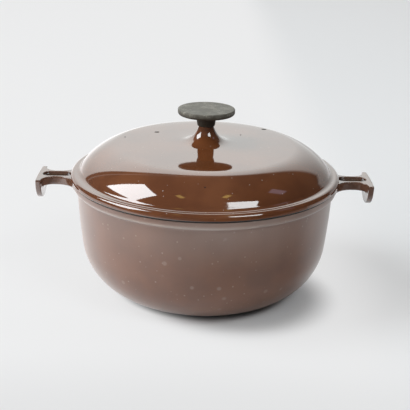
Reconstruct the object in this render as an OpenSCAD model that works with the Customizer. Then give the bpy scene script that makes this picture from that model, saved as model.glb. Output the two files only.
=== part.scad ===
// Round enamelled casserole: a cast pot with two T-shaped handles, a cast lid
// with a hollow trumpet stem, and a disc knob held by a screw from below.
// Millimetres, +Z up, handles along X. The origin is the centre of the flat base.

/* [Pot] */
// Outer radius of the body just under the rim
body_r = 128.1; // [115:0.1:140]
// Height of the pot from the base to the top of the rim
pot_h = 117; // [100:0.5:150]
// Radius of the big corner between the wall and the base
corner_r = 58; // [40:1:70]
// Radius of the slight bow of the wall, which leans out as it rises
bow_r = 635; // [400:5:1500]
// Height at which the bowed wall would stand upright
upright_z = 126.5; // [118:0.5:180]
// Thickness of the wall
wall = 4; // [3:0.1:5.5]
// Thickness of the base
base_t = 5; // [4:0.1:8]

/* [Rim] */
// How far the rim band stands out from the body
rim_step = 3.9; // [3:0.1:6]
// Height of the rim band, down to where its lower edge has run into the wall
rim_h = 11.2; // [9:0.1:16]
// Rounding of the band's upper edge
rim_top_round = 1.2; // [0.5:0.1:2]
// Rounding of the band's lower edge, which flows into the fillet below it
rim_low_round = 2.2; // [0.8:0.1:3]
// Concave fillet between the band's lower edge and the wall
rim_fillet = 4; // [2:0.5:8]
// Rounding of the inner edge of the mouth
mouth_round = 1.5; // [0.5:0.1:2.5]

/* [Handles] */
// Reach of a handle from the rim band to the corners of its end plate
handle_reach = 35.5; // [30:0.5:50]
// Width of the arm
arm_w = 20; // [16:0.5:26]
// Height of the arm, whose top is level with the rim
arm_h = 9; // [6:0.5:12]
// Width of the groove along the arm's top
groove_w = 13; // [8:0.5:14]
// Depth of the groove
groove_depth = 3.2; // [1:0.1:4.5]
// Distance from the rim band to the groove's inner end
groove_inset = 2.5; // [1:0.5:6]
// Metal left between the groove's outer end and the corners' line
groove_end = 4.4; // [2:0.2:6]
// Radius of the half-disc end plate
plate_r = 24.2; // [18:0.2:30]
// Thickness of the end plate at its corners
plate_t = 5.2; // [4:0.1:8]
// How far the plate's outer face bows out at its middle
plate_bow = 0.6; // [0.2:0.1:2]
// Fillet in plan between the arm and the rim band
root_fillet = 20; // [8:0.5:22]
// Fillet in plan between the arm and the end plate
tip_fillet = 12.5; // [6:0.5:14]
// Fillet under the arm, against the end plate
under_fillet = 5; // [2:0.5:8]

/* [Lid] */
// Gap between the lid's flange and the rim
seat_gap = 0.3; // [0.2:0.1:1]
// How far the flange overhangs the rim band
lid_overhang = 2; // [0:0.2:4]
// Thickness of the flange
flange_t = 7.2; // [5:0.2:10]
// Rounding of the flange's edges, which is kept under half its thickness
flange_round = 3.4; // [1:0.2:4]
// Distance from the flange's edge to the foot of the shoulder
foot_inset = 8.3; // [7:0.1:12]
// Concave fillet at the foot of the shoulder
foot_fillet = 6; // [2:0.5:7]
// Steepness of the shoulder at its foot, in degrees
foot_steep = 60.5; // [55:0.5:75]
// Height of the shoulder above the flange's top
shoulder_h = 26; // [18:0.2:35]
// Width of the shoulder in plan
shoulder_w = 37.2; // [28:0.2:46]
// Slope of the nearly flat top where the shoulder begins, in degrees
top_slope = 5; // [2:0.5:9]
// Rise of the top from the shoulder to where the stem's flare begins
top_rise = 2.1; // [1:0.1:6]
// Thickness of the lid
lid_wall = 4.2; // [3:0.1:6]
// Radial play of the locating ring inside the pot's mouth
ring_play = 1.2; // [0.5:0.1:2.5]
// Thickness of the locating ring
ring_t = 3.5; // [2.5:0.1:5]
// Depth of the locating ring below the flange
ring_h = 5; // [3:0.5:8]

/* [Stem] */
// Radius of the stem's top
stem_r = 7.5; // [6.8:0.1:9]
// How far the stem's side leans out at its top, in degrees
stem_taper = 17; // [8:1:22]
// Height of the stem above the top where its flare begins
stem_h = 16.9; // [12:0.1:24]
// Radius where the stem's flare runs out
flare_r = 29; // [24:0.5:40]
// Thickness of the web that closes the stem's top
web_t = 6; // [4:0.2:9]
// Radius of the hollow under the web
core_r = 5.6; // [5.4:0.1:5.8]

/* [Knob] */
// Radius of the knob's disc
knob_r = 28.2; // [20:0.2:34]
// Thickness of the disc
disc_t = 5.9; // [4:0.1:8]
// Rounding of the disc's upper edge
disc_round = 1; // [0.4:0.1:1.5]
// Chamfer under the disc's edge
disc_chamfer = 2.6; // [1:0.1:3]
// Height of the collar under the disc
collar_h = 11.5; // [11.5:0.5:20]
// Radius of the collar where it meets the disc
collar_r = 10.1; // [8.5:0.1:12]
// How much narrower the collar is at its lower end
collar_taper = 1.2; // [0:0.1:1.5]
// Chamfer at the collar's lower end
collar_chamfer = 1; // [0.4:0.1:1.2]

/* [Fastening] */
// Nominal radius of the screw
screw_r = 2.5; // [2:0.1:2.8]
// Length of the screw's shank
screw_len = 16; // [13:0.5:17]
// Radius of the screw's head
head_r = 4.6; // [4:0.1:4.9]
// Height of the screw's head
head_h = 3.2; // [2.5:0.1:4]
// Radial clearance of the screw in the web and the washers
screw_clear = 0.3; // [0.15:0.05:0.6]
// Radial clearance between the screw and the threaded bush
thread_clear = 0.05; // [0.02:0.01:0.1]
// Radius of the threaded bush
bush_r = 4.2; // [3.6:0.1:5]
// Length of the threaded bush
bush_len = 10; // [8:0.5:11]
// Clearance of the bush in the knob
bush_clear = 0.02; // [0.01:0.01:0.1]
// Outer radius of the flat washer
washer_r = 5; // [4.5:0.1:5.2]
// Thickness of the flat washer
washer_t = 1; // [0.6:0.1:1.6]
// Thickness of the lock washer
lock_t = 1.2; // [0.8:0.1:1.8]

/* [Hidden] */
$fn = 180;
eps = 0.01;
enamel = [0.36, 0.22, 0.16];
phenolic = [0.24, 0.23, 0.21];
brass = [0.72, 0.58, 0.30];
steel = [0.62, 0.62, 0.60];

// Radius at height z of a wall with the given bow that reaches radius r where it is upright.
function bowed(r, bow, z) = r - bow + sqrt(bow * bow - pow(upright_z - z, 2));

rim_r = body_r + rim_step;
mouth_r = bowed(body_r - wall, bow_r - wall, pot_h - mouth_round);
// The band's lower rounding and the fillet under it touch at the angle ogee.
blend_z = pot_h - rim_h;
blend_r = bowed(body_r, bow_r, blend_z);
ogee = acos(1 - (rim_r - blend_r) / (rim_low_round + rim_fillet));
round_z = blend_z + (rim_low_round + rim_fillet) * sin(ogee);
plate_x = rim_r + handle_reach;
plate_in = plate_x - plate_t;
arm_low = pot_h - arm_h;

lid_z = pot_h + seat_gap;
flange_top = lid_z + flange_t;
flange_r = rim_r + lid_overhang;
foot_r = flange_r - foot_inset;
foot_reach = foot_fillet * tan(foot_steep / 2);
knee_r = foot_r - shoulder_w;
knee_z = flange_top + shoulder_h;
flare_z = knee_z + top_rise;
stem_top = flare_z + stem_h;
web_low = stem_top - web_t;
ring_out = mouth_r - ring_play;
ring_in = ring_out - ring_t;

disc_low = stem_top + collar_h;
knob_top = disc_low + disc_t;
washer_low = web_low - washer_t;
lock_low = washer_low - lock_t;

// A point on the cubic curve that four control points p shape.
function bezier(p, t) =
    pow(1 - t, 3) * p[0] + 3 * pow(1 - t, 2) * t * p[1]
    + 3 * (1 - t) * t * t * p[2] + pow(t, 3) * p[3];

function curve(p, steps) = [for (i = [0:steps]) bezier(p, i / steps)];

// A point at a distance along a direction given in degrees.
function toward(from, angle, dist) = from + dist * [cos(angle), sin(angle)];

// Points on a circle of radius r about c, between two angles in degrees.
function arc(c, r, from, to, steps) =
    [for (i = [0:steps]) toward(c, from + (to - from) * i / steps, r)];

// Wall of a round vessel whose floor lies at height z0, up to the height top:
// the big corner, then the bowed wall, which meets it without a crease.
function vessel_curve(r, corner, bow, z0, top) =
    let (
        corner_z = z0 + corner,
        lean = asin((upright_z - corner_z) / (bow - corner)),
        corner_x = r - bow + (bow - corner) * cos(lean)
    )
    concat(
        arc([corner_x, corner_z], corner, -90, -lean, 36),
        arc([r - bow, upright_z], bow, -lean, -asin((upright_z - top) / bow), 10)
    );

// What a rounding of radius r takes off a square corner at [x, z].
// The signs say which way the corner points.
module edge_cut(x, z, r, sx, sz) {
    difference() {
        translate([x - (sx > 0 ? r : 1), z - (sz > 0 ? r : 1)]) square([r + 1, r + 1]);
        translate([x - sx * r, z - sz * r]) circle(r = r);
    }
}

module pot() {
    color(enamel) difference() {
        union() {
            rotate_extrude() pot_half();
            handle();
            mirror([1, 0, 0]) handle();
        }
        rotate_extrude() hollow_half();
    }
}

// Half section of the pot's outside; the rim band's lower edge runs into the wall in an S.
module pot_half() {
    difference() {
        polygon(concat(
            [[0, 0]],
            vessel_curve(body_r, corner_r, bow_r, 0, blend_z),
            arc([blend_r + rim_fillet, blend_z], rim_fillet, 180, 180 - ogee, 8),
            arc([rim_r - rim_low_round, round_z], rim_low_round, -ogee, 0, 8),
            [[rim_r, pot_h], [0, pot_h]]
        ));
        edge_cut(rim_r, pot_h, rim_top_round, 1, 1);
    }
}

// Half section of the pot's hollow, where the handles' roots stop too.
module hollow_half() {
    polygon(concat(
        [[0, base_t]],
        vessel_curve(body_r - wall, corner_r - wall, bow_r - wall, base_t, pot_h - mouth_round),
        arc([mouth_r + mouth_round, pot_h - mouth_round], mouth_round, 180, 90, 6),
        [[mouth_r + mouth_round, pot_h + 1], [0, pot_h + 1]]
    ));
}

// Outline of a handle seen from above, for the side at +X.
module handle_plan() {
    root_y = arm_w / 2 + root_fillet;
    root_x = sqrt(pow(rim_r + root_fillet, 2) - root_y * root_y);
    touch = [root_x, root_y] * rim_r / (rim_r + root_fillet);
    tip = [plate_in - tip_fillet, arm_w / 2 + tip_fillet];
    from = body_r - wall / 2;
    translate([from, -arm_w / 2]) square([plate_in - from, arm_w]);
    for (side = [-1, 1]) scale([1, side]) {
        difference() {
            polygon([[from, 0], [root_x, 0], [root_x, root_y], touch, [from, touch[1]]]);
            translate([root_x, root_y]) circle(r = root_fillet);
        }
        difference() {
            translate([tip[0], 0]) square([tip_fillet, tip[1]]);
            translate(tip) circle(r = tip_fillet);
        }
    }
}

module handle() {
    bow = (plate_r * plate_r + plate_bow * plate_bow) / (2 * plate_bow);
    difference() {
        union() {
            translate([0, 0, arm_low]) linear_extrude(arm_h) handle_plan();
            end_plate(bow);
            under_arm();
        }
        translate([0, 0, pot_h - groove_depth]) linear_extrude(groove_depth + 1) groove_plan();
    }
}

// Half-disc plate with its flat side up; its outer face is part of a large cylinder.
module end_plate(bow) {
    intersection() {
        translate([plate_in, 0, pot_h]) rotate([0, 90, 0])
            cylinder(r = plate_r, h = plate_t + plate_bow + 1);
        translate([plate_in, -plate_r, pot_h - plate_r]) cube([2 * plate_t, 2 * plate_r, plate_r]);
        translate([plate_x + plate_bow - bow, 0, pot_h - plate_r - 1])
            cylinder(r = bow, h = plate_r + 2, $fn = 720);
    }
}

// Fillet between the arm's underside and the end plate.
module under_arm() {
    translate([plate_in - under_fillet, arm_w / 2, arm_low - under_fillet]) rotate([90, 0, 0])
        linear_extrude(arm_w) difference() {
            square([under_fillet, under_fillet]);
            circle(r = under_fillet);
        }
}

module groove_plan() {
    from = rim_r + groove_inset + groove_w / 2;
    to = plate_x - groove_end - groove_w / 2;
    translate([from, -groove_w / 2]) square([to - from, groove_w]);
    for (x = [from, to]) translate([x, 0]) circle(d = groove_w);
}

// Outer curves of the lid, from the stem's top to the foot of the shoulder.
flare_curve = [
    [stem_r, stem_top],
    toward([stem_r, stem_top], stem_taper - 90, 0.74 * stem_h),
    toward([flare_r, flare_z], 180 - top_slope, 0.51 * (flare_r - stem_r)),
    [flare_r, flare_z]
];
top_run = (knee_r - flare_r) / 3;
top_curve = [
    [flare_r, flare_z],
    toward([flare_r, flare_z], -top_slope, top_run),
    toward([knee_r, knee_z], 180 - top_slope, top_run),
    [knee_r, knee_z]
];
shoulder_end = toward([foot_r, flange_top], 180 - foot_steep, foot_reach);
shoulder_curve = [
    [knee_r, knee_z],
    toward([knee_r, knee_z], -top_slope, 0.31 * shoulder_w),
    toward(shoulder_end, 180 - foot_steep, 0.46 * shoulder_h),
    shoulder_end
];

// Inner curves, from the locating ring up under the shoulder and into the stem.
inner_shoulder = [
    [ring_in, lid_z + 0.3 * shoulder_h],
    [ring_in, lid_z + 0.6 * shoulder_h],
    toward([knee_r, knee_z - lid_wall], -top_slope, 0.34 * shoulder_w),
    [knee_r, knee_z - lid_wall]
];
inner_flare = [
    [flare_r, flare_z - lid_wall],
    [flare_r - 0.6 * (flare_r - core_r), flare_z - lid_wall],
    [core_r, flare_z],
    [core_r, web_low]
];

module lid() {
    hole = screw_r + screw_clear;
    edge = min(flange_round, flange_t / 2 - 0.1);
    color(enamel) rotate_extrude() difference() {
        polygon(concat(
            [[hole, stem_top]],
            curve(flare_curve, 20),
            curve(top_curve, 10),
            curve(shoulder_curve, 24),
            [[foot_r + foot_reach, flange_top], [flange_r, flange_top], [flange_r, lid_z],
             [ring_out, lid_z], [ring_out - 0.5, lid_z - ring_h],
             [ring_in + 0.5, lid_z - ring_h]],
            curve(inner_shoulder, 16),
            curve(inner_flare, 16),
            [[hole, web_low]]
        ));
        translate([foot_r + foot_reach, flange_top + foot_fillet]) circle(r = foot_fillet);
        edge_cut(flange_r, flange_top, edge, 1, 1);
        edge_cut(flange_r, lid_z, edge, 1, -1);
    }
}

module knob() {
    color(phenolic) difference() {
        rotate_extrude() knob_half();
        translate([0, 0, stem_top]) rotate_extrude() bush_half(bush_clear, 0);
    }
}

module knob_half() {
    low_r = collar_r - collar_taper;
    polygon([
        [0, stem_top], [low_r - collar_chamfer, stem_top],
        [low_r, stem_top + 1.8 * collar_chamfer], [collar_r, disc_low - 1],
        [collar_r + 1, disc_low], [knob_r - disc_chamfer, disc_low],
        [knob_r, disc_low + disc_chamfer], [knob_r, knob_top - disc_round],
        [knob_r - disc_round, knob_top], [0, knob_top]
    ]);
    intersection() {
        translate([knob_r - disc_round, knob_top - disc_round]) circle(r = disc_round);
        translate([knob_r - disc_round, knob_top - disc_round]) square(disc_round);
    }
}

// Half section of the threaded bush, with two grooves that lock it in the knob.
module bush_half(grow, hole) {
    r = bush_r + grow;
    groove = 0.5;
    step = bush_len / 5;
    polygon([
        [hole, 0], [r, 0], [r, step], [r - groove, step], [r - groove, 2 * step],
        [r, 2 * step], [r, 3 * step], [r - groove, 3 * step], [r - groove, 4 * step],
        [r, 4 * step], [r, bush_len + grow], [hole, bush_len + grow]
    ]);
}

module knob_insert() {
    color(brass) translate([0, 0, stem_top]) rotate_extrude()
        bush_half(0, screw_r + thread_clear);
}

module knob_screw() {
    slot_w = 1.2;
    slot_depth = 1.4;
    color(steel) difference() {
        translate([0, 0, lock_low]) {
            translate([0, 0, -head_h]) cylinder(r1 = head_r - 0.7, r2 = head_r, h = head_h);
            cylinder(r = screw_r, h = screw_len);
        }
        translate([-head_r, -slot_w / 2, lock_low - head_h - eps])
            cube([2 * head_r, slot_w, slot_depth]);
    }
}

module flat_washer() {
    color(steel) translate([0, 0, washer_low]) difference() {
        cylinder(r = washer_r, h = washer_t);
        translate([0, 0, -1]) cylinder(r = screw_r + screw_clear, h = washer_t + 2);
    }
}

module lock_washer() {
    split = 0.8;
    color(steel) translate([0, 0, lock_low]) difference() {
        cylinder(r = head_r, h = lock_t);
        translate([0, 0, -1]) cylinder(r = screw_r + screw_clear, h = lock_t + 2);
        translate([0, -split / 2, -1]) cube([head_r + 1, split, lock_t + 2]);
    }
}

pot();
lid();
knob();
knob_insert();
knob_screw();
flat_washer();
lock_washer();
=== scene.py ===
# Looks of the round enamelled casserole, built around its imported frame.
# Metres, +Z up, handles along X. Outlines are written in millimetres.
import math
import bpy
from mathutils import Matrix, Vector


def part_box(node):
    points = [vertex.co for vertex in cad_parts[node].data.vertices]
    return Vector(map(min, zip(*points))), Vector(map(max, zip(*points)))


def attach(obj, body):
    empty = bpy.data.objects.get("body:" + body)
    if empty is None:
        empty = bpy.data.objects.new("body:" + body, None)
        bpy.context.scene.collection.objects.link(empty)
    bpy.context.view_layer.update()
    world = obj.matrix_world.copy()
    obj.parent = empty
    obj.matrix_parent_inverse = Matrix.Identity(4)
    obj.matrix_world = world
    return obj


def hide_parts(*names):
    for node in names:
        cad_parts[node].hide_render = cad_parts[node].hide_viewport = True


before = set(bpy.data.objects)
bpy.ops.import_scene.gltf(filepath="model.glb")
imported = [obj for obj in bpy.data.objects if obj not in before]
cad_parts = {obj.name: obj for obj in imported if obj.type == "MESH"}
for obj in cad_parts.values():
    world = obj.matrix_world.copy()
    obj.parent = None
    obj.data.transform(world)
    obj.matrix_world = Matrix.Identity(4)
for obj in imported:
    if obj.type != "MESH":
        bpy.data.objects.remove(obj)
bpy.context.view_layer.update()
print("frame loaded:", ", ".join(sorted(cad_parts)))

mm = 0.001
weldDistance = 0.001 * mm
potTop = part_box("pot")[1].z / mm
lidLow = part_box("lid")[0].z / mm
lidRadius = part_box("lid")[1].x / mm
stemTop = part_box("lid")[1].z / mm
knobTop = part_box("knob")[1].z / mm
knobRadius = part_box("knob")[1].x / mm


# Camera, where the photograph was taken from

camera = {
    "place": (-9.2, -879.0, 403.5),
    "turn": (70.120, -1.236, -0.197),
    "lens": 80.34,
}


def makeCamera():
    data = bpy.data.cameras.new("camera")
    data.lens = camera["lens"]
    data.sensor_width = 36
    data.clip_end = 50
    eye = bpy.data.objects.new("camera", data)
    eye.location = [v * mm for v in camera["place"]]
    eye.rotation_euler = [math.radians(a) for a in camera["turn"]]
    bpy.context.scene.collection.objects.link(eye)
    bpy.context.scene.camera = eye


makeCamera()
print("camera placed")


# Outline helpers

def arc(centre, radius, start, end, steps):
    # points on a circle, angles in degrees
    points = []
    for i in range(steps + 1):
        angle = math.radians(start + (end - start) * i / steps)
        points.append((centre[0] + radius * math.cos(angle), centre[1] + radius * math.sin(angle)))
    return points


def toward(point, angle, distance):
    angle = math.radians(angle)
    return (point[0] + distance * math.cos(angle), point[1] + distance * math.sin(angle))


def curve(a, b, c, d, steps):
    # a cubic curve from a to d, with handles b and c
    points = []
    for i in range(steps + 1):
        t = i / steps
        weights = ((1 - t) ** 3, 3 * (1 - t) ** 2 * t, 3 * (1 - t) * t * t, t ** 3)
        points.append(tuple(sum(w * p[k] for w, p in zip(weights, (a, b, c, d))) for k in (0, 1)))
    return points


def chain(*runs):
    # joins runs of points and drops the ones that repeat
    points = []
    for run in runs:
        for point in run:
            if not points or math.dist(points[-1], point) > 0.01:
                points.append(point)
    return points


# Modelling helpers

def drawLine(name, points):
    # one vertex, extruded from point to point; the piece stays in edit mode
    bpy.ops.object.select_all(action="DESELECT")
    bpy.ops.mesh.primitive_plane_add(size=mm, location=(0, 0, 0))
    piece = bpy.context.object
    piece.name = name
    bpy.ops.object.mode_set(mode="EDIT")
    bpy.ops.mesh.select_mode(type="VERT")
    bpy.ops.mesh.merge(type="CENTER")
    bpy.ops.transform.translate(value=[v * mm for v in points[0]])
    for a, b in zip(points, points[1:]):
        step = [(q - p) * mm for p, q in zip(a, b)]
        bpy.ops.mesh.extrude_region_move(TRANSFORM_OT_translate={"value": step})
    return piece


def spinProfile(name, profile, steps=256):
    # turns an outline of radius and height once round the axis
    piece = drawLine(name, [(r, 0, z) for r, z in profile])
    bpy.ops.mesh.select_all(action="SELECT")
    bpy.ops.mesh.spin(steps=steps, angle=2 * math.pi, center=(0, 0, 0), axis=(0, 0, 1))
    bpy.ops.mesh.select_all(action="SELECT")
    bpy.ops.mesh.remove_doubles(threshold=weldDistance)
    bpy.ops.mesh.normals_make_consistent(inside=False)
    bpy.ops.object.mode_set(mode="OBJECT")
    bpy.ops.object.shade_smooth_by_angle(angle=math.radians(40))
    print(name, "spun:", len(piece.data.polygons), "faces")
    return piece


def makePrism(name, outline, push):
    # an outline of points in space, closed, filled and pushed out
    piece = drawLine(name, outline + outline[:1])
    bpy.ops.mesh.select_all(action="SELECT")
    bpy.ops.mesh.remove_doubles(threshold=weldDistance)
    bpy.ops.mesh.edge_face_add()
    bpy.ops.mesh.extrude_region_move(TRANSFORM_OT_translate={"value": [v * mm for v in push]})
    bpy.ops.mesh.select_all(action="SELECT")
    bpy.ops.mesh.normals_make_consistent(inside=False)
    bpy.ops.object.mode_set(mode="OBJECT")
    return piece


def pickOnly(piece):
    bpy.ops.object.select_all(action="DESELECT")
    piece.select_set(True)
    bpy.context.view_layer.objects.active = piece


def applyModifier(piece, kind, **settings):
    pickOnly(piece)
    bpy.ops.object.modifier_add(type=kind)
    modifier = piece.modifiers[-1]
    for name, value in settings.items():
        setattr(modifier, name, value)
    bpy.ops.object.modifier_apply(modifier=modifier.name)


def combine(piece, tool, operation):
    applyModifier(piece, "BOOLEAN", object=tool, operation=operation, solver="EXACT")
    bpy.data.objects.remove(tool)


def dress(piece, materials, chooseZone=None):
    # chooseZone(radius, height, up, out) gives the number of a face's material;
    # up and out are the parts of its normal along the axis and away from it
    piece.data.materials.clear()
    for material in materials:
        piece.data.materials.append(material)
    if chooseZone:
        for face in piece.data.polygons:
            x, y, z = face.center
            radius = math.hypot(x, y)
            out = (face.normal.x * x + face.normal.y * y) / radius
            face.material_index = chooseZone(radius / mm, z / mm, face.normal.z, out)


def settle(piece, body, node):
    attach(piece, body)
    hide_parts(node)


# Shader helpers

def addNode(tree, kind, **settings):
    node = tree.nodes.new(kind)
    for name, value in settings.items():
        setattr(node, name, value)
    return node


def feed(tree, socket, value):
    # value is another node's output, or a plain number or colour
    if isinstance(value, bpy.types.NodeSocket):
        tree.links.new(value, socket)
    else:
        socket.default_value = value


def calc(tree, operation, *values):
    node = addNode(tree, "ShaderNodeMath", operation=operation)
    for socket, value in zip(node.inputs, values):
        feed(tree, socket, value)
    return node.outputs[0]


def ramp(tree, value, low, high, toLow=0.0, toHigh=1.0):
    # a smooth step of value from low to high
    node = addNode(tree, "ShaderNodeMapRange", interpolation_type="SMOOTHSTEP")
    for socket, number in zip(node.inputs, (value, low, high, toLow, toHigh)):
        feed(tree, socket, number)
    return node.outputs[0]


def rampOver(tree, length, low, high, toLow=0.0, toHigh=1.0):
    # the same for a length, with low and high in millimetres
    return ramp(tree, length, low * mm, high * mm, toLow, toHigh)


def product(tree, first, *others):
    for value in others:
        first = calc(tree, "MULTIPLY", first, value)
    return first


def blendNumbers(tree, share, first, second):
    node = addNode(tree, "ShaderNodeMix", data_type="FLOAT")
    for i, value in ((0, share), (2, first), (3, second)):
        feed(tree, node.inputs[i], value)
    return node.outputs[0]


def blendColours(tree, share, first, second):
    node = addNode(tree, "ShaderNodeMix", data_type="RGBA")
    for i, value in ((0, share), (6, first), (7, second)):
        feed(tree, node.inputs[i], value)
    return node.outputs[2]


def noise(tree, place, scale, detail=2.0, roughness=0.5):
    node = addNode(tree, "ShaderNodeTexNoise")
    for name, value in (("Vector", place), ("Scale", scale), ("Detail", detail), ("Roughness", roughness)):
        feed(tree, node.inputs[name], value)
    return node.outputs[0]


def cloudMask(tree, place, scale, detail, low, high, rough=0.5, toLow=0.0, toHigh=1.0):
    # soft patches: a noise between two of its levels
    return ramp(tree, noise(tree, place, scale, detail, rough), low, high, toLow, toHigh)


def splitPlace(tree, place):
    node = addNode(tree, "ShaderNodeSeparateXYZ")
    feed(tree, node.inputs[0], place)
    return node.outputs


def stretch(tree, place, scale, turn=(0, 0, 0), shift=(0, 0, 0)):
    node = addNode(tree, "ShaderNodeMapping")
    feed(tree, node.inputs["Vector"], place)
    node.inputs["Location"].default_value = shift
    node.inputs["Rotation"].default_value = [math.radians(a) for a in turn]
    node.inputs["Scale"].default_value = scale
    return node.outputs["Vector"]


def startGroup(name, inputs, output):
    tree = bpy.data.node_groups.new(name, "ShaderNodeTree")
    tree.interface.new_socket(name="Place", in_out="INPUT", socket_type="NodeSocketVector")
    for label, value in inputs.items():
        socket = tree.interface.new_socket(name=label, in_out="INPUT", socket_type="NodeSocketFloat")
        socket.default_value = value
    tree.interface.new_socket(name=output, in_out="OUTPUT", socket_type="NodeSocketFloat")
    given = tree.nodes.new("NodeGroupInput").outputs
    wanted = tree.nodes.new("NodeGroupOutput").inputs
    return tree, given, wanted


def useGroup(tree, group, place, **values):
    node = addNode(tree, "ShaderNodeGroup", node_tree=group)
    feed(tree, node.inputs["Place"], place)
    for name, value in values.items():
        feed(tree, node.inputs[name], value)
    return node.outputs[0]


def startMaterial(name, roughness, ior=1.5, metallic=0.0):
    material = bpy.data.materials.new(name)
    material.use_nodes = True
    tree = material.node_tree
    shader = tree.nodes["Principled BSDF"]
    shader.inputs["Roughness"].default_value = roughness
    shader.inputs["IOR"].default_value = ior
    shader.inputs["Metallic"].default_value = metallic
    place = addNode(tree, "ShaderNodeTexCoord").outputs["Object"]
    return material, tree, shader, place


def paint(tree, shader, colour, roughness):
    feed(tree, shader.inputs["Base Color"], colour)
    feed(tree, shader.inputs["Roughness"], roughness)


def addBump(tree, shader, height, strength, distance):
    node = addNode(tree, "ShaderNodeBump")
    feed(tree, node.inputs["Height"], height)
    node.inputs["Strength"].default_value = strength
    node.inputs["Distance"].default_value = distance * mm
    tree.links.new(node.outputs["Normal"], shader.inputs["Normal"])


# Effects that several materials share

def makeSpots():
    # round marks in random places and sizes; Share is how many cells hold one
    tree, given, wanted = startGroup(
        "scattered spots", {"Scale": 100.0, "Share": 0.1, "Size": 0.3, "Soft": 0.4}, "Mask")
    cells = addNode(tree, "ShaderNodeTexVoronoi")
    feed(tree, cells.inputs["Vector"], given["Place"])
    feed(tree, cells.inputs["Scale"], given["Scale"])
    split = addNode(tree, "ShaderNodeSeparateColor")
    feed(tree, split.inputs[0], cells.outputs["Color"])
    present = calc(tree, "LESS_THAN", split.outputs[0], given["Share"])
    size = product(tree, given["Size"], blendNumbers(tree, split.outputs[1], 0.25, 1.0))
    inner = product(tree, size, calc(tree, "SUBTRACT", 1.0, given["Soft"]))
    mask = ramp(tree, cells.outputs["Distance"], inner, size, 1.0, 0.0)
    feed(tree, wanted["Mask"], product(tree, mask, present))
    return tree


def makeFilm():
    # a dried film: cloudy patches and streaks that ran down
    tree, given, wanted = startGroup(
        "dried film", {"Patch": 18.0, "Streak": 45.0, "Low": 0.35, "High": 0.75}, "Mask")
    patches = noise(tree, given["Place"], given["Patch"], 3.0, 0.55)
    streaks = noise(tree, stretch(tree, given["Place"], (1, 1, 0.12)), given["Streak"], 3.0, 0.6)
    both = blendNumbers(tree, 0.25, patches, streaks)
    feed(tree, wanted["Mask"], ramp(tree, both, given["Low"], given["High"]))
    return tree


def makePeel():
    # the slow waves and the fine ripple that firing leaves in a glaze
    tree, given, wanted = startGroup(
        "glaze waves", {"Wave": 30.0, "Ripple": 180.0, "Fine": 0.2}, "Height")
    waves = noise(tree, given["Place"], given["Wave"], 1.0)
    ripple = noise(tree, given["Place"], given["Ripple"], 2.0)
    feed(tree, wanted["Height"], calc(tree, "MULTIPLY_ADD", ripple, given["Fine"], waves))
    return tree


def makeScratches():
    # thin lines along X, broken up by a coarser noise
    tree, given, wanted = startGroup("fine scratches", {"Scale": 60.0, "Level": 0.62}, "Mask")
    lines = noise(tree, stretch(tree, given["Place"], (1, 26, 1)), given["Scale"], 2.0, 0.7)
    breaks = noise(tree, given["Place"], given["Scale"], 2.0)
    sharp = ramp(tree, lines, given["Level"], calc(tree, "ADD", given["Level"], 0.06))
    feed(tree, wanted["Mask"], product(tree, sharp, ramp(tree, breaks, 0.45, 0.6)))
    return tree


spots = makeSpots()
film = makeFilm()
peel = makePeel()
scratches = makeScratches()


def chipMask(tree, place, chips):
    # dark marks at given places: centre and half sizes in mm, turn about Z in degrees
    total = 0.0
    for centre, half, turn in chips:
        node = addNode(tree, "ShaderNodeMapping", vector_type="TEXTURE")
        feed(tree, node.inputs["Vector"], place)
        node.inputs["Location"].default_value = [v * mm for v in centre]
        node.inputs["Rotation"].default_value = (0, 0, math.radians(turn))
        node.inputs["Scale"].default_value = [v * mm for v in half]
        length = addNode(tree, "ShaderNodeVectorMath", operation="LENGTH")
        feed(tree, length.inputs[0], node.outputs["Vector"])
        total = calc(tree, "MAXIMUM", total, ramp(tree, length.outputs["Value"], 0.6, 1.0, 1.0, 0.0))
    return total


# Enamel

enamel = {
    "ior": 1.8,
    "dulledIor": 1.66,
    "deep": (0.112, 0.035, 0.012, 1),
    "warm": (0.150, 0.050, 0.018, 1),
    "cloud": {"scale": 22.0, "detail": 3.0, "low": 0.35, "high": 0.65},  # between deep and warm
    "film": (0.47, 0.385, 0.345, 1),
    "speck": (0.42, 0.36, 0.32, 1),
    "chip": (0.020, 0.018, 0.017, 1),
    "scale": (0.66, 0.60, 0.55, 1),     # painted highlight along the rim band's lower edge
    "handleDark": (0.030, 0.020, 0.014, 1),  # darkens the handles overall, and as painted shade down in their grooves
    "cream": (0.70, 0.64, 0.53, 1),
    "stain": (0.36, 0.23, 0.12, 1),
    "scratch": (0.30, 0.28, 0.26, 1),
    "iron": (0.035, 0.033, 0.031, 1),
    "wornIron": (0.16, 0.12, 0.09, 1),
}


def brownBase(tree, place):
    return blendColours(tree, cloudMask(tree, place, **enamel["cloud"]), enamel["deep"], enamel["warm"])


# In these finishes bump gives a strength and a depth in mm, and a word that ends in Level
# says how much of a mark shows.

lidFinish = {
    "dust": {"Scale": 260.0, "Share": 0.22, "Size": 0.18},
    "dustLevel": 0.7,
    "dustRoughness": 0.4,
    "pits": {"Scale": 110.0, "Share": 0.02, "Size": 0.07},
    "chips": [
        # centre and half sizes in mm, turn about Z in degrees
        ((-50.3, 37.2, 151.8), (3.2, 2.6, 4), 8),
        ((61.7, 59.2, 150.7), (3.4, 3.0, 4), -8),
        ((-81.9, 18.4, 150.9), (1.0, 1.7, 3), 0),
        ((36.0, 31.8, 152.3), (1.0, 1.7, 3), 0),
        ((-0.9, -109.4, 141.8), (0.9, 0.9, 2), 0),
    ],
    "chipDepth": -0.5,
    "haze": {"scale": 14.0, "detail": 4.0, "rough": 0.6, "low": 0.4, "high": 0.7,
             "toLow": 0.04, "toHigh": 0.085},   # the roughness, from clear to hazy
    "waves": {"Wave": 26.0, "Ripple": 260.0, "Fine": 0.05},
    "bump": (0.12, 0.2),
}


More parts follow.
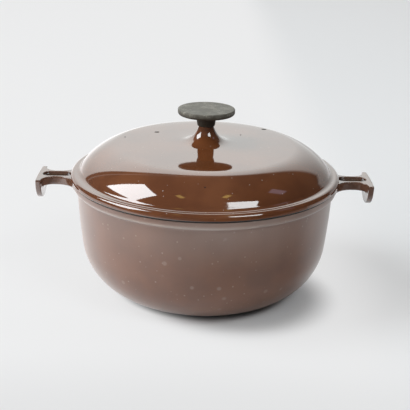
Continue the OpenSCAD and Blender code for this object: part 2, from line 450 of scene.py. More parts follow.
def makeGlossEnamel():
    # the lid: clean and glossy, with pinholes, dust specks and a few chips
    f = lidFinish
    material, tree, shader, place = startMaterial("gloss brown enamel", 0.05, enamel["ior"])
    dust = useGroup(tree, spots, place, **f["dust"])
    pits = useGroup(tree, spots, place, **f["pits"])
    marks = calc(tree, "MAXIMUM", pits, chipMask(tree, place, f["chips"]))
    dusted = product(tree, dust, f["dustLevel"])
    colour = blendColours(tree, dusted, brownBase(tree, place), enamel["speck"])
    rough = calc(tree, "MULTIPLY_ADD", dust, f["dustRoughness"], cloudMask(tree, place, **f["haze"]))
    rough = blendNumbers(tree, marks, rough, 1.0)
    paint(tree, shader, blendColours(tree, marks, colour, enamel["chip"]), rough)
    feed(tree, shader.inputs["Metallic"], marks)
    waves = useGroup(tree, peel, place, **f["waves"])
    addBump(tree, shader, calc(tree, "MULTIPLY_ADD", marks, f["chipDepth"], waves), *f["bump"])
    return material


potFinish = {
    "film": {"Patch": 16.0, "Streak": 60.0, "Low": 0.2, "High": 0.8},
    "filmLevel": 0.22,
    "filmCloud": (0.75, 1.05),            # its level where it is thin and where it is thick
    "filmAndLightUp": (60, 114, 0.5, 1.7),        # from, to, level there and level here, in mm along Z; part film, part painted reflection
    "paintedLightLeft": (-100, 30, 0.55, 1.25),   # the same along X, as painted light and shade: weaker to the left, and with the next line weaker still to the right
    "paintedLightRight": (45, 115, 1.0, 0.4),
    "grains": {"Scale": 200.0, "Share": 0.55, "Size": 0.22},
    "grainLevel": 0.35,
    "blots": {"Scale": 75.0, "Share": 0.5, "Size": 0.24, "Soft": 0.6},
    "blotLevel": 0.24,
    "highlightLow": (107.5, 109.5),           # the painted highlight's line sets in and ends, along Z
    "highlightHigh": (110, 113.5, 1.0, 0.0),
    # along X the painted highlight fades towards the right
    "highlightAcross": (-20, 90, 0.38, 0.2),
    "sheen": 0.12,
    "sheenRoughness": 0.4,
    "roughness": 0.285,   # from below 0.27 to above it, thin lines show in a denoised picture
    "filmRoughness": 0.05,
    "paleRoughness": 0.5,
    "waves": {"Ripple": 220.0, "Fine": 0.12},
    "bump": (0.15, 0.2),
}


def makeDulledEnamel():
    # the pot's outside: dulled by the oven, with a dried film and pale spots; the film's strength along X
    # and Z is partly painted light, shade and reflection
    f = potFinish
    material, tree, shader, place = startMaterial("dulled brown enamel", 0.3, enamel["dulledIor"])
    axes = splitPlace(tree, place)
    x, z = axes["X"], axes["Z"]
    filmAndLightMask = blendNumbers(tree, useGroup(tree, film, place, **f["film"]), *f["filmCloud"])
    # the film's share, raised towards the top as painted reflection and varied along X as painted light
    # and shade
    filmAndLightMask = product(tree, filmAndLightMask, rampOver(tree, z, *f["filmAndLightUp"]),
                   rampOver(tree, x, *f["paintedLightLeft"]), rampOver(tree, x, *f["paintedLightRight"]))
    filmAndLightShare = product(tree, filmAndLightMask, f["filmLevel"])
    colour = blendColours(tree, filmAndLightShare, brownBase(tree, place), enamel["film"])
    grains = product(tree, useGroup(tree, spots, place, **f["grains"]), f["grainLevel"])
    blots = product(tree, useGroup(tree, spots, place, **f["blots"]), f["blotLevel"])
    pale = calc(tree, "MAXIMUM", grains, blots)
    colour = blendColours(tree, pale, colour, enamel["speck"])
    # a painted highlight along the rim band's lower edge, brighter to the left
    line = product(tree, rampOver(tree, z, *f["highlightLow"]), rampOver(tree, z, *f["highlightHigh"]),
                   rampOver(tree, x, *f["highlightAcross"]))
    rough = calc(tree, "MULTIPLY_ADD", filmAndLightMask, f["filmRoughness"], f["roughness"])
    rough = calc(tree, "MULTIPLY_ADD", pale, f["paleRoughness"], rough)
    paint(tree, shader, blendColours(tree, line, colour, enamel["scale"]), rough)
    shader.inputs["Sheen Weight"].default_value = f["sheen"]
    shader.inputs["Sheen Roughness"].default_value = f["sheenRoughness"]
    addBump(tree, shader, useGroup(tree, peel, place, **f["waves"]), *f["bump"])
    return material


handleFinish = {
    "darkeningLevel": 0.35,
    "filmLevel": 0.06,
    "dust": {"Scale": 220.0, "Share": 0.12, "Size": 0.18},
    "dustLevel": 0.4,
    "grooveShadeLevel": 0.75,
    "grooveSide": (5.6, 6.5, 1.0, 0.0),   # where the groove's painted shade ends, in mm from the arm's middle
    "grooveTop": (-2.0, -0.6, 1.0, 0.0),  # and in mm from the pot's top
    "grooveFloor": (-4.2, -3.8),
    "rubbed": {"scale": 90.0, "detail": 3.0, "low": 0.35, "high": 0.7, "toLow": 0.10, "toHigh": 0.20},
    "waves": {"Wave": 90.0, "Ripple": 420.0, "Fine": 0.1},
    "bump": (0.12, 0.2),
}


def makeHandleEnamel():
    # the handles: brown, a little rubbed and darkened overall, with painted shade down in the grooves
    f = handleFinish
    material, tree, shader, place = startMaterial("handle brown enamel", 0.1, enamel["ior"])
    axes = splitPlace(tree, place)
    below = calc(tree, "SUBTRACT", axes["Z"], potTop * mm)
    # painted shade down in the grooves
    groove = product(tree, rampOver(tree, calc(tree, "ABSOLUTE", axes["Y"]), *f["grooveSide"]),
                     rampOver(tree, below, *f["grooveTop"]), rampOver(tree, below, *f["grooveFloor"]))
    dust = useGroup(tree, spots, place, **f["dust"])
    # a darker tone over the whole handle
    colour = blendColours(tree, f["darkeningLevel"], brownBase(tree, place), enamel["handleDark"])
    colour = blendColours(tree, f["filmLevel"], colour, enamel["film"])
    colour = blendColours(tree, product(tree, dust, f["dustLevel"]), colour, enamel["speck"])
    grooveShade = product(tree, groove, f["grooveShadeLevel"])
    paint(tree, shader, blendColours(tree, grooveShade, colour, enamel["handleDark"]),
          cloudMask(tree, place, **f["rubbed"]))
    addBump(tree, shader, useGroup(tree, peel, place, **f["waves"]), *f["bump"])
    return material


insideFinish = {
    "cloud": {"scale": 30.0, "detail": 5.0, "rough": 0.6, "low": 0.45, "high": 0.75},
    "stainUp": (4, 60, 0.75, 0.15),   # from, to, level there and level here, in mm along Z
    "scratchTurn": 35,
    "scratchScale": 40.0,
    "scratchLevel": 0.3,
    "grains": {"Scale": 90.0, "Share": 0.05, "Size": 0.12},
    "roughness": (0.10, 0.28),        # clean and stained
    "bump": (0.15, 0.2),
}


def makeCreamEnamel():
    # the inside: pale, with tea-coloured stains low down and fine grey scratches
    f = insideFinish
    material, tree, shader, place = startMaterial("cream enamel", 0.12, 1.6)
    cloud = cloudMask(tree, place, **f["cloud"])
    stained = product(tree, cloud, rampOver(tree, splitPlace(tree, place)["Z"], *f["stainUp"]))
    colour = blendColours(tree, stained, enamel["cream"], enamel["stain"])
    turned = stretch(tree, place, (1, 1, 1), (0, 0, f["scratchTurn"]))
    lines = useGroup(tree, scratches, turned, Scale=f["scratchScale"])
    colour = blendColours(tree, product(tree, lines, f["scratchLevel"]), colour, enamel["scratch"])
    grains = useGroup(tree, spots, place, **f["grains"])
    paint(tree, shader, blendColours(tree, grains, colour, enamel["stain"]),
          blendNumbers(tree, cloud, *f["roughness"]))
    addBump(tree, shader, useGroup(tree, peel, place), *f["bump"])
    return material


seatFinish = {
    "cloud": {"scale": 160.0, "detail": 4.0, "rough": 0.6, "low": 0.52, "high": 0.72},
    "wornLevel": 0.5,
    "roughness": (0.35, 0.60),   # glazed and worn
    "grain": 500.0,
    "bump": (0.25, 0.2),
}


def makeSeatIron():
    # the rim and the lid's seat, where the glaze is thin and the iron shows
    f = seatFinish
    material, tree, shader, place = startMaterial("dark seat iron", 0.45, 1.6)
    worn = cloudMask(tree, place, **f["cloud"])
    bare = product(tree, worn, f["wornLevel"])
    paint(tree, shader, blendColours(tree, bare, enamel["iron"], enamel["wornIron"]),
          blendNumbers(tree, worn, *f["roughness"]))
    addBump(tree, shader, noise(tree, place, f["grain"], 3.0), *f["bump"])
    return material


glossEnamel = makeGlossEnamel()
dulledEnamel = makeDulledEnamel()
handleEnamel = makeHandleEnamel()
creamEnamel = makeCreamEnamel()
seatIron = makeSeatIron()
print("enamels ready")


# Pot

pot = {
    "bodyRadius": 128.1,   # where the bowed wall would stand upright
    "uprightHeight": 126.5,
    "corner": 58.0,        # big corner between wall and base
    "bow": 635.0,          # slight inward bow of the wall
    "wall": 4.0,
    "base": 5.0,
    "rimRadius": 132.0,
    "rimHeight": 11.2,     # down to where the band's lower edge has run into the wall
    "topRound": 1.2,
    "lowRound": 2.2,
    "fillet": 4.0,
    "mouthRound": 1.5,
    "ironRim": 0.8,        # how far down from the top the rim's iron shows
}


def wallRadius(radius, bow, height):
    return radius - bow + math.sqrt(bow ** 2 - (pot["uprightHeight"] - height) ** 2)


def wallRun(radius, corner, bow, low, top, steps):
    # the big corner's arc, which runs into the bowed wall, up to height top
    upright = pot["uprightHeight"]
    middle = low + corner
    lean = math.degrees(math.asin((upright - middle) / (bow - corner)))
    centre = radius - bow + (bow - corner) * math.cos(math.radians(lean))
    end = -math.degrees(math.asin((upright - top) / bow))
    return chain(
        arc((centre, middle), corner, -90, -lean, steps),
        arc((radius - bow, upright), bow, -lean, end, steps // 3),
    )


def makePot():
    p = pot
    rim, low, top, edge = p["rimRadius"], p["lowRound"], p["topRound"], p["mouthRound"]
    blend = potTop - p["rimHeight"]
    outer = wallRun(p["bodyRadius"], p["corner"], p["bow"], 0, blend, 48)
    wallEdge = outer[-1][0]
    swing = math.degrees(math.acos(1 - (rim - wallEdge) / (low + p["fillet"])))
    roundLow = blend + (low + p["fillet"]) * math.sin(math.radians(swing))
    inner = wallRun(p["bodyRadius"] - p["wall"], p["corner"] - p["wall"], p["bow"] - p["wall"],
                    p["base"], potTop - p["mouthRound"], 40)
    mouth = inner[-1][0]
    profile = chain(
        [(0, 0)], outer,
        arc((wallEdge + p["fillet"], blend), p["fillet"], 180, 180 - swing, 12),
        arc((rim - low, roundLow), low, -swing, 0, 10),
        arc((rim - top, potTop - top), top, 0, 90, 8),
        arc((mouth + edge, potTop - edge), edge, 90, 180, 8),
        inner[::-1], [(0, p["base"])],
    )
    piece = spinProfile("potVessel", profile)

    def chooseZone(radius, height, up, out):
        if height > potTop - p["ironRim"]:
            return 2
        # the inside: what looks towards the axis, and the base's upper face
        return 1 if out < -0.05 or (up > 0.5 and height < potTop / 2) else 0

    dress(piece, [dulledEnamel, creamEnamel, seatIron], chooseZone)
    settle(piece, "pot", "pot")


makePot()


# Handles

handle = {
    "rootX": 126.0,        # hidden end inside the rim band
    "plateX": 167.5,       # corners of the end plate's outer face
    "plateThick": 5.2,
    "plateBow": 0.6,
    "plateRadius": 24.2,
    "armHalf": 10.0,
    "armHeight": 9.0,
    "rootFillet": 20.0,
    "tipFillet": 12.5,
    "underFillet": 5.0,
    "grooveHalf": 6.5,
    "grooveDepth": 3.2,
    "grooveInset": 2.5,
    "grooveEnd": 4.4,
    "overlap": 1.0,        # how far pieces reach into each other before they are joined or cut
    "faceSpare": 1.05,     # the plate's face is this much wider before the disc cuts it
    "sink": 0.15,          # how far the top lies under the rim's top
    "voxel": 0.4,          # the joined handle is remeshed this fine, then smoothed
    "smoothing": 60,
}


def flat(points, z):
    return [(x, y, z) for x, y in points]


def mirrored(points):
    # a half outline with y above zero, closed by its mirror image
    return points + [(x, -y) for x, y in reversed(points)]


def armOutline(plateIn):
    h = handle
    rim, fillet, tip, half = pot["rimRadius"], h["rootFillet"], h["tipFillet"], h["armHalf"]
    rootY = half + fillet
    rootX = math.sqrt((rim + fillet) ** 2 - rootY ** 2)
    touch = math.degrees(math.atan2(rootY, rootX)) + 180
    return mirrored(chain(
        [(h["rootX"], rootY * rim / (rim + fillet))],
        arc((rootX, rootY), fillet, touch, 270, 24),
        arc((plateIn - tip, half + tip), tip, 270, 360, 16),
        [(plateIn + 2 * h["overlap"], half + tip)],
    ))


def makeHandle():
    h = handle
    lap = h["overlap"]
    top = potTop - h["sink"]
    low = potTop - h["armHeight"]
    plateIn = h["plateX"] - h["plateThick"]
    arm = makePrism("handleRight", flat(armOutline(plateIn), low), (0, 0, top - low))

    bow = (h["plateRadius"] ** 2 + h["plateBow"] ** 2) / (2 * h["plateBow"])
    spread = math.degrees(math.asin(h["plateRadius"] / bow)) * h["faceSpare"]
    face = arc((h["plateX"] + h["plateBow"] - bow, 0), bow, -spread, spread, 16)
    plan = [(plateIn, face[-1][1]), (plateIn, face[0][1])] + face
    plateHeight = h["plateRadius"] + lap
    plate = makePrism("plate", flat(plan, potTop - plateHeight), (0, 0, plateHeight - h["sink"]))
    bpy.ops.object.select_all(action="DESELECT")
    bpy.ops.mesh.primitive_cylinder_add(
        vertices=128, radius=h["plateRadius"] * mm, depth=20 * mm,
        location=(h["plateX"] * mm, 0, potTop * mm), rotation=(0, math.pi / 2, 0))
    combine(plate, bpy.context.object, "INTERSECT")

    r = h["underFillet"]
    corner = (plateIn - r, low - r)
    side = chain([(plateIn - r, low + lap)], arc(corner, r, 90, 0, 12),
                 [(plateIn + lap, low - r), (plateIn + lap, low + lap)])
    under = makePrism("under", [(x, -h["armHalf"], z) for x, z in side], (0, 2 * h["armHalf"], 0))

    g = h["grooveHalf"]
    first = pot["rimRadius"] + h["grooveInset"] + g
    last = h["plateX"] - h["grooveEnd"] - g
    stadium = chain(arc((first, 0), g, 90, 270, 24), arc((last, 0), g, -90, 90, 24))
    groove = makePrism("groove", flat(stadium, potTop - h["grooveDepth"]), (0, 0, h["grooveDepth"] + lap))

    combine(arm, plate, "UNION")
    combine(arm, under, "UNION")
    combine(arm, groove, "DIFFERENCE")
    applyModifier(arm, "REMESH", mode="VOXEL", voxel_size=h["voxel"] * mm)
    applyModifier(arm, "SMOOTH", factor=0.5, iterations=h["smoothing"])
    pickOnly(arm)
    bpy.ops.object.shade_smooth()
    print("handle made:", len(arm.data.polygons), "faces")

    bpy.ops.object.duplicate()
    other = bpy.context.object
    other.name = "handleLeft"
    bpy.ops.transform.rotate(value=math.pi, orient_axis="Z", center_override=(0, 0, 0))
    bpy.ops.object.transform_apply(location=True, rotation=True, scale=True)
    for piece in (arm, other):
        dress(piece, [handleEnamel])
        settle(piece, "pot", "pot")


makeHandle()


# Lid

lid = {
    "flange": 7.2,         # thickness of the flange
    "flangeRound": 4.6,
    "flangeLow": 2.0,
    "footInset": 8.3,      # from the flange's edge to the foot of the shoulder
    "footFillet": 6.0,
    "footSteep": 60.5,
    "shoulderHeight": 26.0,
    "shoulderWidth": 37.2,
    "topSlope": 5.0,
    "topRise": 2.1,        # from the shoulder's knee to the stem's flare
    "wall": 4.2,
    "ringPlay": 1.2,       # between the locating ring and the pot's mouth
    "ringThick": 3.5,
    "ringRound": 0.8,
    "ringTaper": 0.4,
    "seatGap": 0.3,
    "stemRadius": 7.5,
    "stemTaper": 17.0,
    "stemHeight": 16.9,
    "flare": 29.0,         # where the stem's sweep sets out from the top
    "web": 6.0,            # iron left at the stem's top, for the screw to pull on
    "core": 5.6,           # hollow of the stem below it
    "hole": 2.8,           # for the screw
    "seatIronAndShade": 1.3,       # how far up the flange the seat's dark iron reaches; up its lower rounding it is painted shade for the gap
    # how far each curve keeps the direction of its two ends, as shares of its height or width
    "stemPull": (0.74, 0.51),
    "shoulderPull": (0.31, 0.46),
    "insidePull": (0.3, 0.6, 0.34),
    "corePull": 0.6,
}


def makeLid():
    p = lid
    seat = potTop + p["seatGap"]
    flangeTop = seat + p["flange"]
    foot = (lidRadius - p["footInset"], flangeTop)
    knee = (foot[0] - p["shoulderWidth"], flangeTop + p["shoulderHeight"])
    flare = (p["flare"], knee[1] + p["topRise"])
    slope = p["topSlope"]
    crown = (p["stemRadius"], stemTop)
    pullUp, pullOut = p["stemPull"]
    stem = curve(crown, toward(crown, p["stemTaper"] - 90, pullUp * p["stemHeight"]),
                 toward(flare, 180 - slope, pullOut * (flare[0] - crown[0])), flare, 36)
    third = (knee[0] - flare[0]) / 3
    top = curve(flare, toward(flare, -slope, third), toward(knee, 180 - slope, third), knee, 16)
    steep, f = p["footSteep"], p["footFillet"]
    reach = f * math.tan(math.radians(steep / 2))
    end = toward(foot, 180 - steep, reach)
    pullOut, pullUp = p["shoulderPull"]
    shoulder = curve(knee, toward(knee, -slope, pullOut * p["shoulderWidth"]),
                     toward(end, 180 - steep, pullUp * p["shoulderHeight"]), end, 48)
    fillet = arc((foot[0] + reach, flangeTop + f), f, 270 - steep, 270, 16)

    e, b = p["flangeRound"], p["flangeLow"]
    ringOut = wallRadius(pot["bodyRadius"] - pot["wall"], pot["bow"] - pot["wall"],
                         potTop - pot["mouthRound"]) - p["ringPlay"]
    ringIn = ringOut - p["ringThick"]
    ringRound = p["ringRound"]
    ringBend = p["ringTaper"] + ringRound
    innerKnee = (knee[0], knee[1] - p["wall"])
    pullFrom, pullUp, pullOut = p["insidePull"]
    innerShoulder = curve(
        (ringIn, seat + pullFrom * p["shoulderHeight"]), (ringIn, seat + pullUp * p["shoulderHeight"]),
        toward(innerKnee, -slope, pullOut * p["shoulderWidth"]), innerKnee, 28)
    innerTop = flare[1] - p["wall"]
    innerFlare = curve((flare[0], innerTop), (flare[0] - p["corePull"] * (flare[0] - p["core"]), innerTop),
                       (p["core"], flare[1]), (p["core"], stemTop - p["web"]), 24)
    profile = chain(
        [(p["hole"], stemTop)], stem, top, shoulder, fillet,
        arc((lidRadius - e, flangeTop - e), e, 90, 0, 16),
        arc((lidRadius - b, seat + b), b, 0, -90, 12),
        [(ringOut, seat)],
        arc((ringOut - ringBend, lidLow + ringRound), ringRound, 0, -90, 5),
        arc((ringIn + ringBend, lidLow + ringRound), ringRound, -90, -180, 5),
        innerShoulder, innerFlare,
        [(p["hole"], stemTop - p["web"]), (p["hole"], stemTop)],
    )
    piece = spinProfile("lidShell", profile)

    def chooseZone(radius, height, up, out):
        # the seat's iron, carried up the flange's lower rounding as painted shade
        if height < seat + p["seatIronAndShade"]:
            return 2
        # the inside: what looks down or towards the axis, within the ring
        return 1 if radius < ringOut and (up < -0.05 or out < -0.05) else 0

    dress(piece, [glossEnamel, creamEnamel, seatIron], chooseZone)
    settle(piece, "lid", "lid")


makeLid()


# Knob

knob = {
    "disc": 5.9,           # thickness of the disc
    "edgeRound": 1.0,
    "flatInset": 2.2,      # a ring of points inside the edge keeps the top's shading flat
    "chamfer": 2.6,
    "collarRadius": 10.1,
    "collarFillet": 1.0,   # between collar and disc
    "taper": 1.2,
    "pocket": 4.22,        # bore that the brass bush sits in
    "pocketDeep": 10.02,
    "colour": (0.080, 0.072, 0.056, 1),
    "dust": (0.34, 0.32, 0.27, 1),
    # painted shade for the side and underside
    "dark": (0.036, 0.029, 0.020, 1),
    "paintedShadeBelow": (-6.0, -0.6),    # painted shade below: from here up it pales, in mm from its top
    "cloud": {"scale": 120.0, "detail": 4.0, "rough": 0.6, "low": 0.35, "high": 0.7},
    "cloudLevel": 0.22,
    "scratches": [(-20, {"Scale": 90.0, "Level": 0.53}), (62, {"Scale": 70.0, "Level": 0.54})],
    "scratchLevel": 0.75,
    "scratchDepth": -0.6,
    "roughness": (0.62, 0.77),
    "grain": 700.0,
    "bump": (0.3, 0.1),
}


def makePhenolic():
    k = knob
    material, tree, shader, place = startMaterial("dark phenolic", 0.5, 1.55)
    cloud = cloudMask(tree, place, **k["cloud"])
    below = calc(tree, "SUBTRACT", splitPlace(tree, place)["Z"], knobTop * mm)
    # painted shade: darker down the side and underside, paler towards the top
    high = rampOver(tree, below, *k["paintedShadeBelow"])
    base = blendColours(tree, high, k["dark"], k["colour"])
    worn = 0.0
    for turn, values in k["scratches"]:
        lines = useGroup(tree, scratches, stretch(tree, place, (1, 1, 1), (0, 0, turn)), **values)
        worn = calc(tree, "MAXIMUM", worn, lines)
    pale = calc(tree, "MULTIPLY_ADD", worn, k["scratchLevel"], product(tree, cloud, k["cloudLevel"]))
    paint(tree, shader, blendColours(tree, product(tree, pale, high), base, k["dust"]),
          blendNumbers(tree, cloud, *k["roughness"]))
    grain = calc(tree, "MULTIPLY_ADD", worn, k["scratchDepth"], noise(tree, place, k["grain"], 2.0))
    addBump(tree, shader, grain, *k["bump"])
    return material


def makeKnob():
    k = knob
    discLow = knobTop - k["disc"]
    edge, collar, fillet, bevel = k["edgeRound"], k["collarRadius"], k["collarFillet"], k["chamfer"]
    foot = collar - k["taper"]
    pocketTop = stemTop + k["pocketDeep"]
    profile = chain(
        [(0, pocketTop), (k["pocket"], pocketTop), (k["pocket"], stemTop)],
        curve((foot - 1, stemTop), (foot - 0.3, stemTop + 0.2),
              (foot, stemTop + 1.0), (foot, stemTop + 1.8), 6),   # the collar's rounded foot
        [(collar, discLow - fillet)],
        arc((collar + fillet, discLow - fillet), fillet, 180, 90, 8),
        arc((knobRadius - bevel, discLow + bevel), bevel, -90, 0, 12),
        arc((knobRadius - edge, knobTop - edge), edge, 0, 90, 10),
        [(knobRadius - k["flatInset"], knobTop), (0, knobTop)],
    )
    piece = spinProfile("knobDisc", profile, 160)
    dress(piece, [makePhenolic()])
    settle(piece, "lid", "knob")


makeKnob()


# Screw, washers and bush

metals = {
    "brass": {"clean": (0.62, 0.43, 0.17, 1), "stained": (0.26, 0.17, 0.08, 1), "roughness": 0.28},
    "zinc": {"clean": (0.48, 0.48, 0.46, 1), "stained": (0.20, 0.17, 0.14, 1), "roughness": 0.35},
    "cloud": {"scale": 400.0, "detail": 4.0, "rough": 0.6, "low": 0.45, "high": 0.7},
    "stainLevel": 0.6,
    "stainRoughness": 0.25,
    "turned": 500.0,       # fine rings from the lathe
    "bump": (0.3, 0.05),
}


def makeMetal(name, clean, stained, roughness):
    m = metals
    material, tree, shader, place = startMaterial(name, roughness, metallic=1.0)
    cloud = cloudMask(tree, place, **m["cloud"])
    paint(tree, shader, blendColours(tree, product(tree, cloud, m["stainLevel"]), clean, stained),
          calc(tree, "MULTIPLY_ADD", cloud, m["stainRoughness"], roughness))
    rings = noise(tree, stretch(tree, place, (1, 1, 14)), m["turned"], 2.0)
    addBump(tree, shader, rings, *m["bump"])
    return material


def dressFasteners():
    brass = makeMetal("turned brass", **metals["brass"])
    zinc = makeMetal("dull zinc", **metals["zinc"])
    for name in ("knob_insert", "knob_screw", "flat_washer", "lock_washer"):
        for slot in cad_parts[name].material_slots:
            slot.material = brass if name == "knob_insert" else zinc


dressFasteners()
print("fasteners dressed")


# Floor

floor = {
    "size": 14.0,                        # in metres; the lengths below are in mm
    "paper": (0.83, 0.83, 0.835, 1),
    "mark": (0.62, 0.61, 0.60, 1),
    "marks": {"Scale": 24.0, "Share": 0.03, "Size": 0.03},
    "shown": (0.845, 0.845, 0.847, 1),   # its white, where that is shown plainly
    "shadow": (37, -30),                 # the shadow's middle
    "plainFrom": (64, 106),              # how far from there the plain white sets in
    "plainShare": (120, 250, 0.8, 0.35),      # along X, on the left and on the right
    "paintedContactShadow": (80, 94, 0.25, 1.0),           # from the axis, a painted shadow where the pot stands
    "frontShade": (-270, -140, 0.91, 1.0),     # along Y, painted shade for the camera: darker towards the front
    "glossAcross": (-220, 70),                # where the painted level that gloss sees goes from left to right
    "glossBack": (-100, 20),                  # and on the right from front to back
    "glossLevel": (2.2, 0.32, 1.5),           # painted light and shade that gloss sees: left, right front, right back
    "glossFrontShade": (-330, -270, 0.15, 1.0),     # along Y, painted shade in front of it for gloss
}


def seenRay(tree):
    # 1 for what the camera, gloss and glass see, 0 for the light that falls on things
    rays = addNode(tree, "ShaderNodeLightPath").outputs
    shown = calc(tree, "MAXIMUM", rays["Is Camera Ray"], rays["Is Glossy Ray"])
    return calc(tree, "MAXIMUM", shown, rays["Is Transmission Ray"])


def distanceTo(tree, place, x, y):
    node = addNode(tree, "ShaderNodeVectorMath", operation="DISTANCE")
    feed(tree, node.inputs[0], place)
    node.inputs[1].default_value = (x * mm, y * mm, 0)
    return node.outputs["Value"]


def makeFloor():
    f = floor
    bpy.ops.object.select_all(action="DESELECT")
    bpy.ops.mesh.primitive_plane_add(size=f["size"], location=(0, 0, 0))
    sheet = bpy.context.object
    sheet.name = "floor"
    material, tree, shader, place = startMaterial("studio paper", 0.9)
    axes = splitPlace(tree, place)
    x, y = axes["X"], axes["Y"]

    # how much of its white is shown plainly: none in the shadow
    share = product(tree, rampOver(tree, distanceTo(tree, place, *f["shadow"]), *f["plainFrom"]),
                    rampOver(tree, x, *f["plainShare"]), seenRay(tree))

    # its level for the camera and for gloss: painted shade towards the front and at the pot's foot, and
    # for gloss a painted level, bright to the left and dark to the right and in front
    shown = product(tree, rampOver(tree, y, *f["frontShade"]),
                    rampOver(tree, distanceTo(tree, place, 0, 0), *f["paintedContactShadow"]))
    leftLevel, frontLevel, backLevel = f["glossLevel"]
    rightLevel = rampOver(tree, y, *f["glossBack"], frontLevel, backLevel)
    mirroredLevel = product(tree, rampOver(tree, x, *f["glossAcross"], leftLevel, rightLevel),
                            rampOver(tree, y, *f["glossFrontShade"]))
    glossRay = addNode(tree, "ShaderNodeLightPath").outputs["Is Glossy Ray"]
    level = blendNumbers(tree, glossRay, shown, mirroredLevel)

    # what is left of the paper's own colour, and what it shows by itself
    paper = blendColours(tree, useGroup(tree, spots, place, **f["marks"]), f["paper"], f["mark"])
    kept = product(tree, calc(tree, "MINIMUM", level, 1.0), calc(tree, "SUBTRACT", 1.0, share))
    feed(tree, shader.inputs["Base Color"], blendColours(tree, kept, (0, 0, 0, 1), paper))
    shader.inputs["Emission Color"].default_value = f["shown"]
    # where gloss sees a level above 1, the paper glows as a painted reflection
    feed(tree, shader.inputs["Emission Strength"], product(tree, share, level))
    shader.inputs["Specular IOR Level"].default_value = 0.1
    addBump(tree, shader, noise(tree, place, 900.0, 3.0), 0.1, 0.2)
    sheet.data.materials.append(material)


makeFloor()


# Light

light = {
    "softboxes": [
        {"place": (-2.40, -0.13, 2.85), "aim": (0, -0.13, 2.85), "size": (1.8, 2.75), "radiance": 9.4,
         "tint": (0.92, 0.97, 1)},
        {"place": (1.185, -1.407, 1.942), "size": (1.02, 0.8), "turn": -22, "radiance": 7.8,
         "tint": (0.93, 0.98, 1)},
    ],
    "glints": [
        {"place": (-0.60, -0.72, 2.26), "size": (0.27, 0.14), "turn": -30, "radiance": 2.3,
         "tint": (1, 0.72, 0.19)},
        {"place": (0.52, -0.63, 2.30), "size": (0.27, 0.14), "turn": 30, "radiance": 2.3,
         "tint": (1, 0.72, 0.19)},
        {"place": (1.60, 0.10, 1.88), "size": (0.30, 0.50), "radiance": 0.8, "tint": (0.75, 0.7, 1.0)},
    ],
    "fills": [
        # these light the body's dried film, and gloss doesn't mirror them
        {"place": (-2.06, -1.44, 0.77), "size": (1.8, 1.2), "radiance": 4.3, "tint": (1, 1, 1),
         "mirrored": False},
        {"place": (0, 2.7, 2.1), "aim": (0, 2.7, 0), "size": (4.5, 2.6), "radiance": 0.9,
         "tint": (1, 1, 1), "mirrored": False},
    ],
    "soft": 0.10,            # what falls on things from all round
    "shown": 0.83,           # what the camera sees behind the floor
    "room": (0.0, 0.6, 0.13, 0.06),   # mirrored level of the dim room, from left to right
}

# The mirrored backdrop. Its sizes are shares of the distance to it, across and up.
backdrop = {
    "tint": (0.96, 1, 0.99, 1),
    "level": (0.1, 0.72, 1.42, 3.0),     # near the floor and at its top
    "fade": (0.05, 0.85, 1.0, 0.42),     # towards the right
    "leftHalf": (1.02, 1.62, 4.0),       # width, height and squareness of its outline
    "rightHalf": (0.92, 1.62, 2.1),
    "middle": (-0.05, 0.25),             # where one half runs into the other
    "edgeSoftness": (0.015, 0.09),       # left and right
    "lowUp": (0.35, 0.5, 1.0, 0.0),      # a wider stretch at the right, low down
    "lowAcross": (1.2, 1.5, 1.0, 0.0),
    "line": 1.2,                         # a thin pale line outside the left outline
    "lineHalf": (0.008, 0.02),
    "behind": (0.0, 0.05),               # it stands on the object's far side
}


def makeSoftbox(name, place, size, radiance, tint, aim=(0, 0, 0.1), turn=0, mirrored=True):
    data = bpy.data.lights.new(name, "AREA")
    data.shape = "RECTANGLE"
    data.size, data.size_y = size
    data.energy = radiance * math.pi * size[0] * size[1]
    data.color = tint
    lamp = bpy.data.objects.new(name, data)
    lamp.location = place
    lamp.rotation_euler = (Vector(aim) - Vector(place)).to_track_quat("-Z", "Y").to_euler()
    lamp.rotation_euler.rotate_axis("Z", math.radians(turn))
    lamp.visible_camera = False
    lamp.visible_glossy = mirrored
    bpy.context.scene.collection.objects.link(lamp)


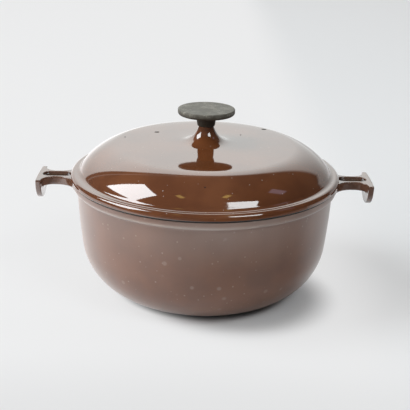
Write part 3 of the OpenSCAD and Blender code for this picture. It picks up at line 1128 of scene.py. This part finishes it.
def makeWorld():
    # a pale backdrop behind the object in a dim room; cameras see plain pale grey
    world = bpy.data.worlds.new("studio")
    bpy.context.scene.world = world
    world.use_nodes = True
    tree = world.node_tree
    b = backdrop
    axes = splitPlace(tree, addNode(tree, "ShaderNodeTexCoord").outputs["Generated"])
    x, y, z = axes["X"], axes["Y"], axes["Z"]
    depth = calc(tree, "MAXIMUM", y, 0.001)
    side = calc(tree, "DIVIDE", x, depth)
    across = calc(tree, "ABSOLUTE", side)
    up = calc(tree, "DIVIDE", calc(tree, "MAXIMUM", z, 0.0), depth)

    def reach(width, height, power):
        # 1 on the backdrop's outline, less inside it
        sides = calc(tree, "POWER", calc(tree, "DIVIDE", across, width), power)
        both = calc(tree, "ADD", sides, calc(tree, "POWER", calc(tree, "DIVIDE", up, height), power))
        return calc(tree, "POWER", both, 1 / power)

    rightSide = ramp(tree, side, *b["middle"])
    edge = blendNumbers(tree, rightSide, reach(*b["leftHalf"]), reach(*b["rightHalf"]))
    soft = blendNumbers(tree, rightSide, *b["edgeSoftness"])
    inside = ramp(tree, edge, calc(tree, "SUBTRACT", 1.0, soft), calc(tree, "ADD", 1.0, soft), 1.0, 0.0)
    low = product(tree, ramp(tree, up, *b["lowUp"]), ramp(tree, side, *b["lowAcross"]), rightSide)
    facing = ramp(tree, y, *b["behind"])
    shape = product(tree, calc(tree, "MAXIMUM", inside, low), facing)
    level = product(tree, ramp(tree, z, *b["level"]), ramp(tree, side, *b["fade"]))

    offLine = calc(tree, "ABSOLUTE", calc(tree, "SUBTRACT", edge, b["line"]))
    line = product(tree, ramp(tree, offLine, *b["lineHalf"], 1.0, 0.0),
                   calc(tree, "SUBTRACT", 1.0, rightSide), facing)
    room = calc(tree, "ADD", line, ramp(tree, x, *light["room"]))
    mirroredLevel = blendNumbers(tree, shape, room, level)

    cameraRay = addNode(tree, "ShaderNodeLightPath").outputs["Is Camera Ray"]
    falling = blendNumbers(tree, seenRay(tree), light["soft"], mirroredLevel)
    background = tree.nodes["Background"]
    feed(tree, background.inputs["Strength"], blendNumbers(tree, cameraRay, falling, light["shown"]))
    feed(tree, background.inputs["Color"], blendColours(tree, cameraRay, b["tint"], (1, 1, 1, 1)))


for lampName in ("softboxes", "fills", "glints"):
    for settings in light[lampName]:
        makeSoftbox(lampName, **settings)
makeWorld()
bpy.context.scene.view_settings.view_transform = "Standard"
print("lights placed")
